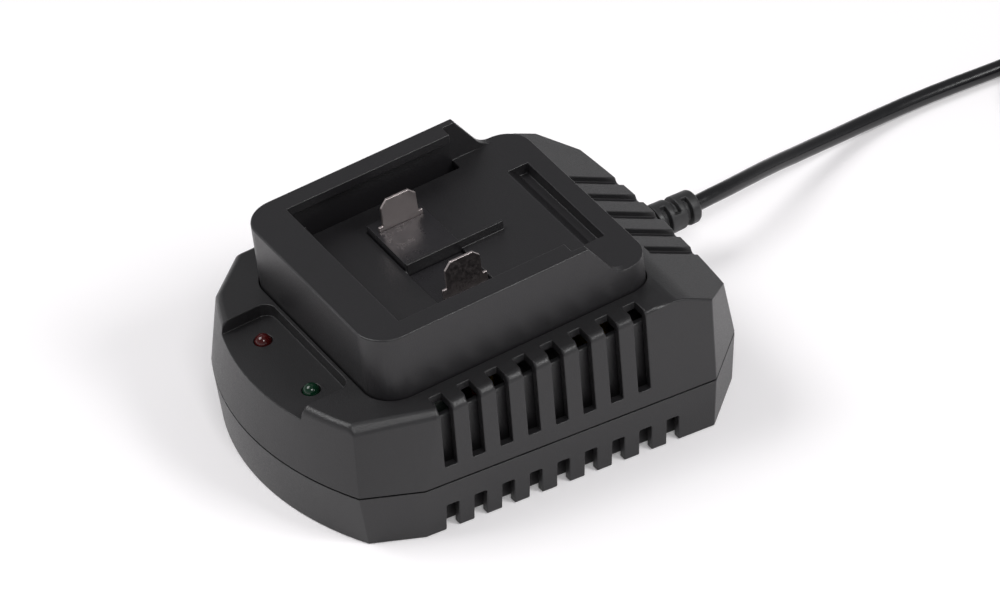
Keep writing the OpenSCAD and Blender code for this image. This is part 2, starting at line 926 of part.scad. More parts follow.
module transformer_bobbin() {
  color([0.85, 0.83, 0.75])
    on_board(core_x, core_y) {
      difference() {
        translate([-core_w / 2 + core_leg + window_gap, -core_l / 2 - 4, core_leg + 1 + window_gap])
          cube([core_w - 2 * core_leg - 2 * window_gap, core_l + 8, 1]);
        translate([-core_leg - 0.2, -core_l / 2 - 0.2, 0])
          cube([2 * core_leg + 0.4, core_l + 0.4, transformer_h]);
      }
      for (s = sides)
        translate([-core_w / 2 + core_leg + 0.5, s > 0 ? core_l / 2 + 0.3 : -core_l / 2 - 4, 0])
          cube([core_w - 2 * core_leg - 1, 3.7, core_leg + 1 + window_gap]);
    }
}

module transformer_winding() {
  height = transformer_h - 2 * core_leg - 2 - 2 * window_gap;
  color([0.85, 0.65, 0.15])
    on_board(core_x, core_y)
      translate([0, 0, core_leg + 2 + window_gap])
        difference() {
          translate([-core_leg - coil_w + window_gap, -core_l / 2 - 3.5, 0])
            cube([2 * (core_leg + coil_w - window_gap), core_l + 7, height]);
          translate([-core_leg - window_gap, -core_l / 2 - window_gap, -1])
            cube([2 * (core_leg + window_gap), core_l + 2 * window_gap, height + 2]);
        }
}

module mains_capacitor() {
  color([0.1, 0.12, 0.3])
    on_board(-19, board_rear - 32)
      translate([0, 0, mains_cap_d / 2])
        rotate([-90, 0, 0])
          difference() {
            cylinder(h = mains_cap_l, d = mains_cap_d);
            translate([0, 0, 2])
              rotate_extrude()
                translate([mains_cap_d / 2 + 0.4, 0])
                  circle(r = 1);
          }
}

module output_capacitors() {
  color([0.08, 0.08, 0.1])
    for (x = [-25, -15])
      on_board(x, board_front + 17)
        difference() {
          cylinder(h = output_cap_h, d = output_cap_d);
          translate([0, 0, 1.5])
            rotate_extrude()
              translate([output_cap_d / 2 + 0.3, 0])
                circle(r = 0.8);
        }
}

module suppression_capacitor() {
  color([0.75, 0.6, 0.1])
    on_board(6, board_rear - 12)
      translate([-9, -4, 0])
        cube([18, 8, 13]);
}

module filter_choke() {
  color([0.55, 0.28, 0.12])
    on_board(24, board_rear - 6) {
      translate([0, 0, 7.4])
        rotate([90, 0, 0])
          rotate_extrude()
            translate([4.6, 0])
              circle(r = 2.4);
      translate([-5, -3, 0])
        cube([10, 6, 1]);
    }
}

module fuse() {
  color([0.8, 0.8, 0.78])
    on_board(-27, board_rear - 6.4) {
      translate([0, 0, 3])
        rotate([0, 90, 0]) {
          cylinder(h = 20, d = 4.6);
          cylinder(h = 5, d = 5.4);
          translate([0, 0, 15])
            cylinder(h = 5, d = 5.4);
        }
      for (x = [1.5, 16.5])
        translate([x, -2, 0])
          cube([2, 4, 2]);
    }
}

module bridge_rectifier() {
  color([0.12, 0.12, 0.12])
    on_board(-27, board_rear - 38)
      translate([-3, -5, 0])
        cube([6, 10, 9]);
}

sink_x = 2;
sink_y = -18;

module heat_sink() {
  color([0.7, 0.7, 0.72])
    on_board(sink_x, sink_y)
      difference() {
        translate([-12, 0, 0])
          cube([20, 8, 18]);
        for (k = [0 : 3])
          translate([-10.4 + k * 4.6, 2, -1])
            cube([3, 8, 20]);
      }
}

module power_package(x) {
  on_board(sink_x + x, sink_y) {
    translate([-4, -4.6, 4])
      cube([8, 4.6, 9]);
    for (k = [-1 : 1])
      translate([k * 2.5 - 0.4, -2.4, 0])
        cube([0.8, 0.5, 4]);
  }
}

module switching_transistor() {
  color([0.13, 0.13, 0.13])
    power_package(-7.5);
}

module output_diode() {
  color([0.13, 0.13, 0.13])
    power_package(3.5);
}

module controller_chip() {
  color([0.1, 0.1, 0.1])
    on_board(15, board_front + 20)
      translate([-4, -2.5, 0])
        cube([8, 5, 1.8]);
}

module optocoupler() {
  color([0.9, 0.9, 0.88])
    on_board(27, -14)
      translate([-3.2, -2.3, 0])
        cube([6.4, 4.6, 3.6]);
}

// Wires from the board up to the tails of the two blades.
module terminal_leads() {
  tail_top = top_h + (deck_under - 7) * cos(top_tilt) + blade_u * sin(top_tilt);
  tail_y = blade_u * cos(top_tilt) - (deck_under - 7) * sin(top_tilt);
  color([0.6, 0.1, 0.1])
    for (s = sides)
      translate([s * blade_gap / 2, tail_y, board_top])
        cylinder(h = tail_top - board_top, d = 2.2);
}

// End of the cord inside the housing: its sheath, then two wires down to the board.
module mains_leads() {
  wire_d = 1.9;
  drop_y = board_rear - 1.6;
  sheath_y = clamp_y - 5;
  color([0.45, 0.25, 0.1]) {
    translate([-exit_x, sheath_y, parting_h])
      rotate([-90, 0, 0])
        cylinder(h = relief_inner_y - sheath_y, d = cord_d);
    for (x = [-1.15, 1.15])
      translate([-exit_x + x, drop_y, 0]) {
        translate([0, 0, board_top])
          cylinder(h = parting_h - board_top, d = wire_d);
        translate([0, 0, parting_h])
          sphere(d = wire_d);
        translate([0, 0, parting_h])
          rotate([-90, 0, 0])
            cylinder(h = sheath_y - drop_y + 1, d = wire_d);
      }
  }
}

// ---- Fasteners ----------------------------------------------------------------------------

module screw(d, length, head_d, head_h) {
  cylinder(h = length, d = d);
  translate([0, 0, -head_h])
    difference() {
      cylinder(h = head_h + 0.01, d = head_d);
      for (a = [0, 90])
        rotate([0, 0, a])
          translate([-head_d * 0.32, -0.35, -0.01])
            cube([head_d * 0.64, 0.7, head_h * 0.55]);
    }
}

module housing_screws() {
  color([0.55, 0.55, 0.57])
    at_bosses()
      translate([0, 0, screw_seat_h])
        screw(screw_d - 0.6, parting_h + 9.5 - screw_seat_h, screw_d * 2, 2);
}

module board_screws() {
  color([0.7, 0.7, 0.72])
    for (x = [-post_x, post_x], y = post_ys)
      translate([x, y, board_top])
        rotate([180, 0, 0])
          screw(2, board_t + board_post_h - 0.5, 5, 1.4);
}

clamp_w = 20;

clamp_t = 2.5;
clamp_l = 5;

// Bar across the cord, hollowed a little where it grips the sheath.
module cord_clamp() {
  color([0.15, 0.15, 0.15])
    difference() {
      translate([-exit_x - clamp_w / 2, clamp_y - clamp_l / 2, clamp_foot])
        cube([clamp_w, clamp_l, clamp_t]);
      translate([-exit_x, clamp_y, parting_h])
        rotate([90, 0, 0])
          cylinder(h = 2 * clamp_l, d = cord_d, center = true);
      at_clamp_screws()
        cylinder(h = 10, d = clamp_screw_d + 0.2);
    }
}

module at_clamp_screws() {
  for (s = sides)
    translate([-exit_x + s * clamp_hole_x, clamp_y, parting_h])
      children();
}

clamp_screw_d = 2.5;
clamp_screw_l = 10;

module clamp_screws() {
  color([0.7, 0.7, 0.72])
    at_clamp_screws()
      translate([0, 0, clamp_foot + clamp_t - parting_h])
        rotate([180, 0, 0])
          screw(clamp_screw_d, clamp_screw_l, 2 * clamp_screw_d, 1.5);
}

// Posts on the floor plate that the clamp is screwed down to.
module clamp_posts() {
  intersection() {
    at_clamp_screws()
      cylinder(h = big, d = 5.5, center = true);
    translate([-big / 2, -big / 2, floor_lift])
      cube([big, big, clamp_foot - floor_lift]);
  }
}

// ---- Cord ---------------------------------------------------------------------------------

// Route of the cord from the strain relief to the coil: it drops to the table and runs rearward.
cord_route = [
  [-23.9, 90.4, 16.5], [-24.7, 96.5, 16.6], [-26.2, 103, 16], [-28.8, 110.5, 14.7],
  [-31.8, 118, 13], [-35, 126, 11], [-38.2, 134.5, 8.8], [-41.2, 143.5, 6.9],
  [-44, 152.5, 5.1], [-46.4, 161.5, 3.8], [-48.2, 170.5, 2.9], [-49.4, 179.5, 2.5],
  [-50, 189, 2.4], [-50.2, 199, 2.4], [-50.2, 209, 2.4], [-50.1, 219, 2.6],
  [-50, 229, 3], [-50, 236, 3.2], [-50, 241, 3.2]
];
tube_sides = 8;
coil_sides = 6;
coil_rings_per_turn = 24;

function unit(v) = v / norm(v);
function heading(path, i) =
  unit(path[min(i + 1, len(path) - 1)] - path[max(i - 1, 0)]);

// A ring of points square to the path, with one corner pair level so that it lies flat.
function ring(path, i, radius, sides_n) =
  let (
    along = heading(path, i),
    across = unit(cross(along, [0, 0, 1])),
    up = cross(across, along)
  )
  [for (k = [0 : sides_n - 1])
    let (a = 360 * (k + 0.5) / sides_n)
    path[i] + radius * (across * cos(a) + up * sin(a))];

// One unbroken tube along the points of a path, closed at both ends.
module tube(path, radius, sides_n) {
  rings = len(path);
  points = [for (i = [0 : rings - 1]) each ring(path, i, radius, sides_n)];
  walls = [
    for (i = [0 : rings - 2])
      for (k = [0 : sides_n - 1])
        let (
          a = i * sides_n + k,
          b = i * sides_n + (k + 1) % sides_n,
          c = a + sides_n,
          d = b + sides_n
        )
        each [[a, b, c], [b, d, c]]
  ];
  near_cap = [for (k = [1 : sides_n - 2]) [0, k + 1, k]];
  last = (rings - 1) * sides_n;
  far_cap = [for (k = [1 : sides_n - 2]) [last, last + k, last + k + 1]];
  polyhedron(points = points, faces = concat(walls, near_cap, far_cap));
}

// Two layers of turns: the first spirals in on the table, the second spirals out on top.
tie_t = 0.8;
coil_z = cord_d / 2 + tie_t;
coil_outer_r = coil_inner_r + coil_pitch * coil_turns;
coil_start = cord_route[len(cord_route) - 1];
coil_centre = [coil_start.x + coil_outer_r, coil_start.y + cord_d, 0];

function coil_radius(t) = coil_inner_r + coil_pitch * abs(t - coil_turns);
function coil_climb(t) = min(1, max(0, 2 * (t - coil_turns) + 0.5));
function coil_point(t) =
  let (a = 180 - 360 * t)
  [
    coil_centre.x + coil_radius(t) * cos(a),
    coil_centre.y + coil_radius(t) * sin(a),
    coil_z + coil_pitch * (1 - cos(180 * coil_climb(t))) / 2
  ];
coil_steps = 2 * coil_turns * coil_rings_per_turn;
coil_tail = 20;
coil_end = coil_point(2 * coil_turns);
coil_path = concat(
  [coil_start],
  [for (i = [0 : coil_steps]) coil_point(i / coil_rings_per_turn)],
  [coil_end + [0, cord_d, 0], coil_end + [0, coil_tail, 0]]
);

// Least distance between rings that lie more than half a turn apart, less the cord itself.
coil_gaps = [
  for (i = [0 : 2 : len(coil_path) - 1])
    for (j = [i + coil_rings_per_turn / 2 : len(coil_path) - 1])
      norm(coil_path[i] - coil_path[j])
];
echo(least_gap_between_turns = min(coil_gaps) - cord_d);

// Sleeve moulded on the cord: a spigot and collar held between the shells, then the
// flexible part, which leans towards -X and is cut from alternate sides so that it bends.
module strain_relief() {
  cuts = 4;
  tip_l = 3.3;
  edge = 0.6;
  length = relief_l + relief_sunk + 0.3;
  color([0.13, 0.13, 0.14]) {
    translate([-exit_x, relief_inner_y, parting_h])
      rotate([-90, 0, 0]) {
        cylinder(h = rear_y + 1 - relief_inner_y, d = relief_d - 2.6);
        translate([0, 0, 5.2])
          cylinder(h = 1.8, d = relief_d);
      }
    translate([-exit_x, rear_y - relief_sunk, parting_h])
      rotate([0, 0, relief_turn])
        rotate([-90, 0, 0])
          difference() {
            union() {
              cylinder(h = length - edge, d1 = relief_d, d2 = relief_tip_d);
              translate([0, 0, length - edge])
                cylinder(h = edge, d1 = relief_tip_d, d2 = relief_tip_d - 2 * edge);
            }
            for (k = [0 : cuts - 1])
              translate([0, 0, length - tip_l - relief_cut_w - k * relief_pitch])
                relief_cut(k % 2 == 0 ? 10 : -125);
          }
  }
}

// Half a ring, cut from the given side down to the core.
module relief_cut(side) {
  rotate([0, 0, side])
    difference() {
      translate([0, -relief_d, 0])
        cube([relief_d, 2 * relief_d, relief_cut_w]);
      cylinder(h = 3 * relief_cut_w, d = cord_d + 2, center = true);
    }
}

module cord() {
  color([0.09, 0.09, 0.1])
    tube(cord_route, cord_d / 2, tube_sides);
}

module cord_coil() {
  color([0.09, 0.09, 0.1])
    tube(coil_path, cord_d / 2, coil_sides);
}

// Strap right round the bundle of turns, on the far side from the cord.
module coil_tie() {
  inner = coil_inner_r - cord_d / 2 - 0.6;
  outer = coil_outer_r + cord_d / 2 + 0.6;
  top = coil_z + coil_pitch + cord_d / 2 + 0.3;
  tie_w = 6;
  color([0.1, 0.1, 0.1])
    translate([coil_centre.x, coil_centre.y - tie_w / 2, 0])
      difference() {
        translate([inner - tie_t, 0, 0])
          cube([outer - inner + 2 * tie_t, tie_w, top + tie_t]);
        translate([inner, -1, tie_t])
          cube([outer - inner, tie_w + 2, top - tie_t]);
      }
}

plug_start = coil_end + [0, coil_tail, 0];

// Flat two-pin plug body that narrows towards the cord.
module plug_body() {
  neck = 10;
  half = plug_t / 2;
  color([0.11, 0.11, 0.12])
    translate([plug_start.x, plug_start.y, half])
      hull() {
        rotate([-90, 0, 0])
          translate([0, -(plug_start.z - half), 0])
            cylinder(h = 2, d = cord_d + 4.6, $fn = 32);
        for (s = sides)
          translate([s * (plug_w / 2 - half), plug_l * 0.45, 0])
            rotate([-90, 0, 0])
              cylinder(h = plug_l * 0.55, d = plug_t, $fn = 32);
        translate([-neck / 2, plug_l / 4, -half])
          cube([neck, 4, 1]);
      }
}

module plug_pins() {
  color([0.8, 0.8, 0.78])
    for (s = sides)
      translate([plug_start.x + s * pin_gap / 2, plug_start.y + plug_l, plug_t / 2])
        rotate([-90, 0, 0]) {
          cylinder(h = pin_l - 1, d = pin_d);
          translate([0, 0, pin_l - 1])
            cylinder(h = 1, d1 = pin_d, d2 = pin_d - 1.4);
        }
}

upper_housing();
lower_housing();
battery_dock();
terminal_holder();
left_terminal();
right_terminal();
red_led();
green_led();
circuit_board();
transformer_core();
transformer_bobbin();
transformer_winding();
mains_capacitor();
output_capacitors();
suppression_capacitor();
filter_choke();
fuse();
bridge_rectifier();
switching_transistor();
output_diode();
heat_sink();
controller_chip();
optocoupler();
terminal_leads();
mains_leads();
cord_clamp();
clamp_screws();
board_screws();
housing_screws();
strain_relief();
cord();
cord_coil();
coil_tie();
plug_body();
plug_pins();
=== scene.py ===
"""Looks of the battery charger: camera, cord, rounded housings, materials, floor and light."""
import math

import bmesh
import bpy
from mathutils import Matrix, Vector


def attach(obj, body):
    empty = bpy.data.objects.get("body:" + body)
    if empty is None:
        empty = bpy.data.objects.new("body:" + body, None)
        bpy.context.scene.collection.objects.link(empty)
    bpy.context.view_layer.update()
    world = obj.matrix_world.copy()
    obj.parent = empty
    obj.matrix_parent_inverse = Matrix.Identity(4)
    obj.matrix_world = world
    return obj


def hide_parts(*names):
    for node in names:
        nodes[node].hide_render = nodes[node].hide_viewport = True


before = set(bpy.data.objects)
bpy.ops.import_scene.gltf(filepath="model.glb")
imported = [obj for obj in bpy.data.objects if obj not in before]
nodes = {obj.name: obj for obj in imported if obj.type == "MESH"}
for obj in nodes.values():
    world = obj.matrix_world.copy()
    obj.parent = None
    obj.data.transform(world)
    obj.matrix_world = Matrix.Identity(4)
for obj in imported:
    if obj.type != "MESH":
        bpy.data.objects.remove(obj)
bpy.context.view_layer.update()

MM = 0.001
WHITE = (1.0, 1.0, 1.0, 1.0)
scene = bpy.context.scene


# ---- Camera ---------------------------------------------------------------------------------

# The sensor and the lens in millimetres, and the rest in metres
SENSOR_W = 36.0
LENS = 274.9
NEAREST = 0.05
FARTHEST = 20.0
CAMERA_PLACE = (1.49421, -0.83795, 1.29428)
CAMERA_RIGHT = (0.51219, 0.85841, -0.02819)
CAMERA_UP = (-0.49722, 0.32312, 0.80521)


def add_camera():
    """The photograph's camera: a long lens, above the front right corner."""
    data = bpy.data.cameras.new("camera")
    data.sensor_fit = "HORIZONTAL"
    data.sensor_width = SENSOR_W
    data.lens = LENS
    data.clip_start = NEAREST
    data.clip_end = FARTHEST
    camera = bpy.data.objects.new("camera", data)
    scene.collection.objects.link(camera)
    right = Vector(CAMERA_RIGHT)
    back = right.cross(Vector(CAMERA_UP)).normalized()
    up = back.cross(right).normalized()
    turn = Matrix((right.normalized(), up, back)).transposed().to_4x4()
    camera.matrix_world = Matrix.Translation(CAMERA_PLACE) @ turn
    scene.camera = camera


add_camera()


# ---- Shader kit -----------------------------------------------------------------------------

def calculate(tree, operation, first, second):
    """A Math node on two values, each of them an output socket or a number."""
    made = tree.nodes.new("ShaderNodeMath")
    made.operation = operation
    for socket, value in zip(made.inputs, (first, second)):
        if isinstance(value, float):
            socket.default_value = value
        else:
            tree.links.new(value, socket)
    return made.outputs[0]


def ramp(tree, value, start, end, low, high, interpolation="LINEAR"):
    """While value goes from start to end, the result goes from low to high."""
    made = tree.nodes.new("ShaderNodeMapRange")
    made.interpolation_type = interpolation
    tree.links.new(value, made.inputs["Value"])
    for key, number in (("From Min", start), ("From Max", end), ("To Min", low), ("To Max", high)):
        made.inputs[key].default_value = number
    return made.outputs["Result"]


class Shader:
    """One material with its Principled shader, and short ways to add nodes."""

    IOR = 1.5

    def __init__(self, name, color, roughness, metallic=0.0, specular=0.5):
        self.mat = bpy.data.materials.new(name)
        self.mat.use_nodes = True
        self.tree = self.mat.node_tree
        self.bsdf = self.tree.nodes["Principled BSDF"]
        self.set(self.bsdf, "Base Color", (*color, 1.0))
        self.set(self.bsdf, "Roughness", roughness)
        self.set(self.bsdf, "Metallic", metallic)
        self.set(self.bsdf, "Specular IOR Level", specular)
        self.set(self.bsdf, "IOR", self.IOR)
        self.place = self.node("ShaderNodeTexCoord").outputs["Object"]

    def node(self, kind, **sockets):
        made = self.tree.nodes.new(kind)
        for key, value in sockets.items():
            self.set(made, key, value)
        return made

    def set(self, owner, key, value):
        owner.inputs[key].default_value = value

    def link(self, out, owner, key):
        self.tree.links.new(out, owner.inputs[key])

    def noise(self, scale, detail=3.0, rough=0.5):
        texture = self.node("ShaderNodeTexNoise", Scale=scale, Detail=detail, Roughness=rough)
        self.link(self.place, texture, "Vector")
        return texture.outputs["Fac"]

    def patches(self, value, color, tones):
        """The colour, made darker or lighter by value between two tones."""
        mix = self.node("ShaderNodeMix")
        mix.data_type = "RGBA"
        factor, darkest, lightest = mix.inputs[0], mix.inputs[6], mix.inputs[7]
        self.tree.links.new(value, factor)
        for socket, tone in zip((darkest, lightest), tones):
            socket.default_value = (*(c * tone for c in color), 1.0)
        return mix.outputs[2]

    def bump(self, height, strength, distance):
        made = self.node("ShaderNodeBump", Strength=strength, Distance=distance)
        self.link(height, made, "Height")
        return made.outputs["Normal"]


# ---- Materials ------------------------------------------------------------------------------

NOISE_START, NOISE_END = 0.3, 0.7  # nearly all of a noise's values lie between them
PATCH_SCALE = 22.0
GRAIN_DEPTH = 0.00012
GRAIN_GLOSS = 0.07                 # how far the roughness goes to either side
GRAIN_TONES = (0.9, 1.12)          # darkest and lightest patch, as shares of the colour
HAZE_DEPTH = 0.0001
HAZE_GLOSS = (0.8, 1.25)           # least and most roughness, as shares of it
HAZE_TONES = (0.88, 1.1)
HAZE_TO_PATCH = 8


def grained_plastic(name, color, roughness, grain=0.28, scale=2600.0):
    """Moulded plastic with a fine spark-eroded grain and faint colour variation."""
    shader = Shader(name, color, roughness)
    broad = shader.noise(PATCH_SCALE, detail=2.0)
    fine = shader.noise(scale, detail=2.0, rough=0.6)
    least, most = roughness - GRAIN_GLOSS, roughness + GRAIN_GLOSS
    shader.link(shader.patches(broad, color, GRAIN_TONES), shader.bsdf, "Base Color")
    shader.link(ramp(shader.tree, fine, NOISE_START, NOISE_END, least, most), shader.bsdf, "Roughness")
    shader.link(shader.bump(fine, grain, GRAIN_DEPTH), shader.bsdf, "Normal")
    return shader.mat


def smooth_material(name, color, roughness, metallic=0.0, scale=300.0, grain=0.05):
    """A smoother finish with faint unevenness."""
    shader = Shader(name, color, roughness, metallic)
    broad = shader.noise(scale / HAZE_TO_PATCH)
    haze = shader.noise(scale)
    least, most = (roughness * share for share in HAZE_GLOSS)
    shader.link(shader.patches(broad, color, HAZE_TONES), shader.bsdf, "Base Color")
    shader.link(ramp(shader.tree, haze, NOISE_START, NOISE_END, least, most), shader.bsdf, "Roughness")
    shader.link(shader.bump(haze, grain, HAZE_DEPTH), shader.bsdf, "Normal")
    return shader.mat


HOUSING = grained_plastic("housing_plastic", (0.0128, 0.0123, 0.0133), 0.41, 0.42)
DOCK = grained_plastic("dock_plastic", (0.012, 0.0113, 0.0126), 0.38, 0.3)
INSULATOR = smooth_material("holder_plastic", (0.012, 0.011, 0.013), 0.3, grain=0.0)
NICKEL = smooth_material("nickel", (0.52, 0.465, 0.46), 0.36, 1.0, 900.0, 0.01)
CORD_SHEATH = smooth_material("cord_sheath", (0.008, 0.008, 0.009), 0.22, grain=0.03)
RELIEF = smooth_material("relief_rubber", (0.021, 0.021, 0.022), 0.48, grain=0.08)
PLUG = smooth_material("plug_plastic", (0.01, 0.01, 0.011), 0.34, grain=0.06)
STRAP = grained_plastic("strap_fabric", (0.01, 0.01, 0.011), 0.75, 0.5, 900.0)
EPOXY = grained_plastic("epoxy", (0.012, 0.012, 0.012), 0.5)
ZINC = smooth_material("zinc", (0.5, 0.5, 0.52), 0.3, 1.0)

# The finish of each CAD node that no piece of this script stands for
PLAIN = {
    "red_led": smooth_material("red_lens", (0.05, 0.002, 0.002), 0.05, grain=0.0),
    "green_led": smooth_material("green_lens", (0.0015, 0.024, 0.01), 0.05, grain=0.0),
    "circuit_board": smooth_material("laminate", (0.01, 0.035, 0.018), 0.4),
    "transformer_core": grained_plastic("ferrite", (0.03, 0.03, 0.03), 0.6, 0.5, 1500.0),
    "transformer_bobbin": smooth_material("bobbin_plastic", (0.6, 0.58, 0.5), 0.45),
    "transformer_winding": smooth_material("winding_tape", (0.65, 0.42, 0.04), 0.35),
    "mains_capacitor": smooth_material("capacitor_sleeve", (0.015, 0.02, 0.06), 0.3),
    "output_capacitors": smooth_material("small_sleeve", (0.01, 0.012, 0.03), 0.3),
    "suppression_capacitor": smooth_material("yellow_case", (0.6, 0.4, 0.03), 0.35),
    "filter_choke": smooth_material("enamelled_copper", (0.2, 0.07, 0.025), 0.35, 0.8),
    "fuse": smooth_material("fuse_body", (0.6, 0.6, 0.58), 0.3),
    "bridge_rectifier": EPOXY,
    "switching_transistor": EPOXY,
    "output_diode": EPOXY,
    "controller_chip": EPOXY,
    "heat_sink": smooth_material("aluminium", (0.6, 0.6, 0.62), 0.35, 1.0),
    "optocoupler": smooth_material("white_case", (0.6, 0.6, 0.58), 0.4),
    "terminal_leads": smooth_material("red_wire", (0.09, 0.006, 0.006), 0.4),
    "mains_leads": smooth_material("brown_wire", (0.12, 0.05, 0.02), 0.4),
    "cord_clamp": grained_plastic("clamp_plastic", (0.015, 0.015, 0.015), 0.5),
    "clamp_screws": ZINC,
    "board_screws": ZINC,
    "housing_screws": ZINC,
    "plug_pins": NICKEL,
}


# ---- Mesh kit -------------------------------------------------------------------------------

WELD = 0.012          # points closer than this, in millimetres, become one
FLAT_ANGLE = 0.6      # faces that turn by less than this, in degrees, become one
EDGE_ANGLE = 28.0     # where faces turn by less than this, the edge isn't rounded
LOOKS_DOWN = -0.5     # the Z part of the normal of a face that looks down
ROUND_SEGMENTS = 3


def finish_piece(obj, material, name, slot, *replaced):
    """Gives a new piece its finish and its body, and hides the CAD nodes that it stands for."""
    obj.name = name
    obj.data.materials.clear()
    obj.data.materials.append(material)
    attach(obj, "root")
    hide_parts(*replaced)
    return obj


def merge_flat_faces(work, under):
    """Joins faces in one plane. Those that look down stay triangles where `under` is false."""
    bmesh.ops.remove_doubles(work, verts=work.verts, dist=WELD * MM)
    work.normal_update()

    def joins(part):
        return under or all(face.normal.z > LOOKS_DOWN for face in part.link_faces)

    bmesh.ops.dissolve_limit(
        work, angle_limit=math.radians(FLAT_ANGLE), use_dissolve_boundaries=False,
        verts=[v for v in work.verts if joins(v)], edges=[e for e in work.edges if joins(e)],
    )
    work.normal_update()


def weigh_edges(work, width, special):
    """An edge's weight is the width in millimetres that its rounding gets."""
    weight = work.edges.layers.float.new("bevel_weight_edge")
    for edge in work.edges:
        if len(edge.link_faces) != 2 or edge.calc_face_angle(0.0) < math.radians(EDGE_ANGLE):
            continue
        normals = [face.normal.copy() for face in edge.link_faces]
        middle = (edge.verts[0].co + edge.verts[1].co) / 2 / MM
        own_width = special(normals, middle, edge.is_convex) if special else None
        edge[weight] = width if own_width is None else own_width


def rounded(node, width, special=None, under=True):
    """A copy of a CAD node with its edges rounded to `width` millimetres.

    special(normals, middle, convex) may give another width for the edge between two faces.
    """
    mesh = nodes[node].data.copy()
    work = bmesh.new()
    work.from_mesh(mesh)
    merge_flat_faces(work, under)
    weigh_edges(work, width, special)
    work.to_mesh(mesh)
    work.free()
    obj = bpy.data.objects.new(node + "_rounded", mesh)
    scene.collection.objects.link(obj)
    mesh.shade_smooth()
    bevel = obj.modifiers.new("round", "BEVEL")
    bevel.width = MM  # times the edge's weight
    bevel.segments = ROUND_SEGMENTS
    bevel.limit_method = "WEIGHT"
    bevel.use_clamp_overlap = False
    bevel.miter_outer = "MITER_ARC"
    even = obj.modifiers.new("even", "WEIGHTED_NORMAL")
    even.weight = 100
    even.keep_sharp = True
    settled = bpy.data.meshes.new_from_object(obj.evaluated_get(bpy.context.evaluated_depsgraph_get()))
    obj.modifiers.clear()
    obj.data = settled
    bpy.data.meshes.remove(mesh)
    return obj


# ---- Cord -----------------------------------------------------------------------------------

# Millimetres. The route's points and the coil's rule are those of the solids.
CORD_D = 4.8
TIE_T = 0.8
ROUTE = [
    (-23.9, 90.4, 16.5), (-24.7, 96.5, 16.6), (-26.2, 103, 16), (-28.8, 110.5, 14.7),
    (-31.8, 118, 13), (-35, 126, 11), (-38.2, 134.5, 8.8), (-41.2, 143.5, 6.9),
    (-44, 152.5, 5.1), (-46.4, 161.5, 3.8), (-48.2, 170.5, 2.9), (-49.4, 179.5, 2.5),
    (-50, 189, 2.4), (-50.2, 199, 2.4), (-50.2, 209, 2.4), (-50.1, 219, 2.6),
    (-50, 229, 3), (-50, 236, 3.2), (-50, 241, 3.2),
]
COIL_TURNS = 3.5
COIL_INNER_R = 19.6
COIL_PITCH = 5.3
COIL_TAIL = 20.0
POINTS_PER_TURN = 24
SHEATH_RESOLUTION = 6


def coil_points():
    """Two layers of turns: inwards on the table, up at the innermost turn, and out on top."""
    start = ROUTE[-1]
    outer = COIL_INNER_R + COIL_PITCH * COIL_TURNS
    centre_x, centre_y = start[0] + outer, start[1] + CORD_D
    low_z = CORD_D / 2 + TIE_T
    points = []
    for i in range(int(2 * COIL_TURNS * POINTS_PER_TURN) + 1):
        turn = i / POINTS_PER_TURN
        radius = COIL_INNER_R + COIL_PITCH * abs(turn - COIL_TURNS)
        climb = min(1.0, max(0.0, 2 * (turn - COIL_TURNS) + 0.5))
        rise = COIL_PITCH * (1 - math.cos(math.pi * climb)) / 2
        angle = math.radians(180 - 360 * turn)
        points.append((
            centre_x + radius * math.cos(angle), centre_y + radius * math.sin(angle), low_z + rise,
        ))
    x, y, z = points[-1]
    return points + [(x, y + CORD_D, z), (x, y + COIL_TAIL, z)]


def add_cord():
    """The whole mains cord as one curve, and its length in metres."""
    path = [Vector(p) * MM for p in ROUTE + coil_points()]
    curve = bpy.data.curves.new("mains_cord", "CURVE")
    curve.dimensions = "3D"
    curve.bevel_depth = CORD_D / 2 * MM
    curve.bevel_resolution = SHEATH_RESOLUTION
    curve.use_fill_caps = True
    spline = curve.splines.new("POLY")
    spline.points.add(len(path) - 1)
    for point, place in zip(spline.points, path):
        point.co = (*place, 1.0)
    spline.use_smooth = True
    obj = bpy.data.objects.new("mains_cord", curve)
    scene.collection.objects.link(obj)
    finish_piece(obj, CORD_SHEATH, "mains_cord", "cord_rubber", "cord", "cord_coil")
    length = sum((b - a).length for a, b in zip(path, path[1:]))
    return obj, length


# ---- Edges of the housing and the dock ------------------------------------------------------

# Places in millimetres that tell the edges apart
SEAM_Z = 16.75         # between the two shells
SEAM_REACH = 1.2
TOP_Z = 30.0           # above it lie the edges of the upper shell's top
SIDE_X = 44.0          # beyond it, to either side, lie the edges of the side walls
FRONT_Y = -60.0        # in front of it lie the edges of the front
RUN_OUT_X = 40.0       # beyond it and behind RUN_OUT_Y the chamfer ends on the rear slope
RUN_OUT_Y = 31.0
DOCK_TOP_Z = 50.0
DOCK_SIDE_X = 34.0
DOCK_FRONT_Y = -30.0
DOCK_RAMP_Y = 14.0     # behind it the dock's rim runs down the rear ramp

# The Z part of a face's normal: more than LEVEL on a level face, less than UPRIGHT on a wall
LEVEL = 0.9
NEARLY_LEVEL = 0.6
SLOPED = (0.5, 0.86)
UPRIGHT = 0.3
DRAFTED = 0.35
FACES_Y = 0.99         # the Y part of the normal of a slot's wall
BLUNT = 0.5            # the walls at a corner turn by less than 60 degrees

# Widths of the rounding in millimetres
SEAM_EDGE = 0.15
CHAMFER_EDGE = 0.8
SLOT_EDGE = 0.4
TOP_EDGE = 0.6
CORNER_EDGE = 0.4
DOCK_TOP_EDGE = 0.55


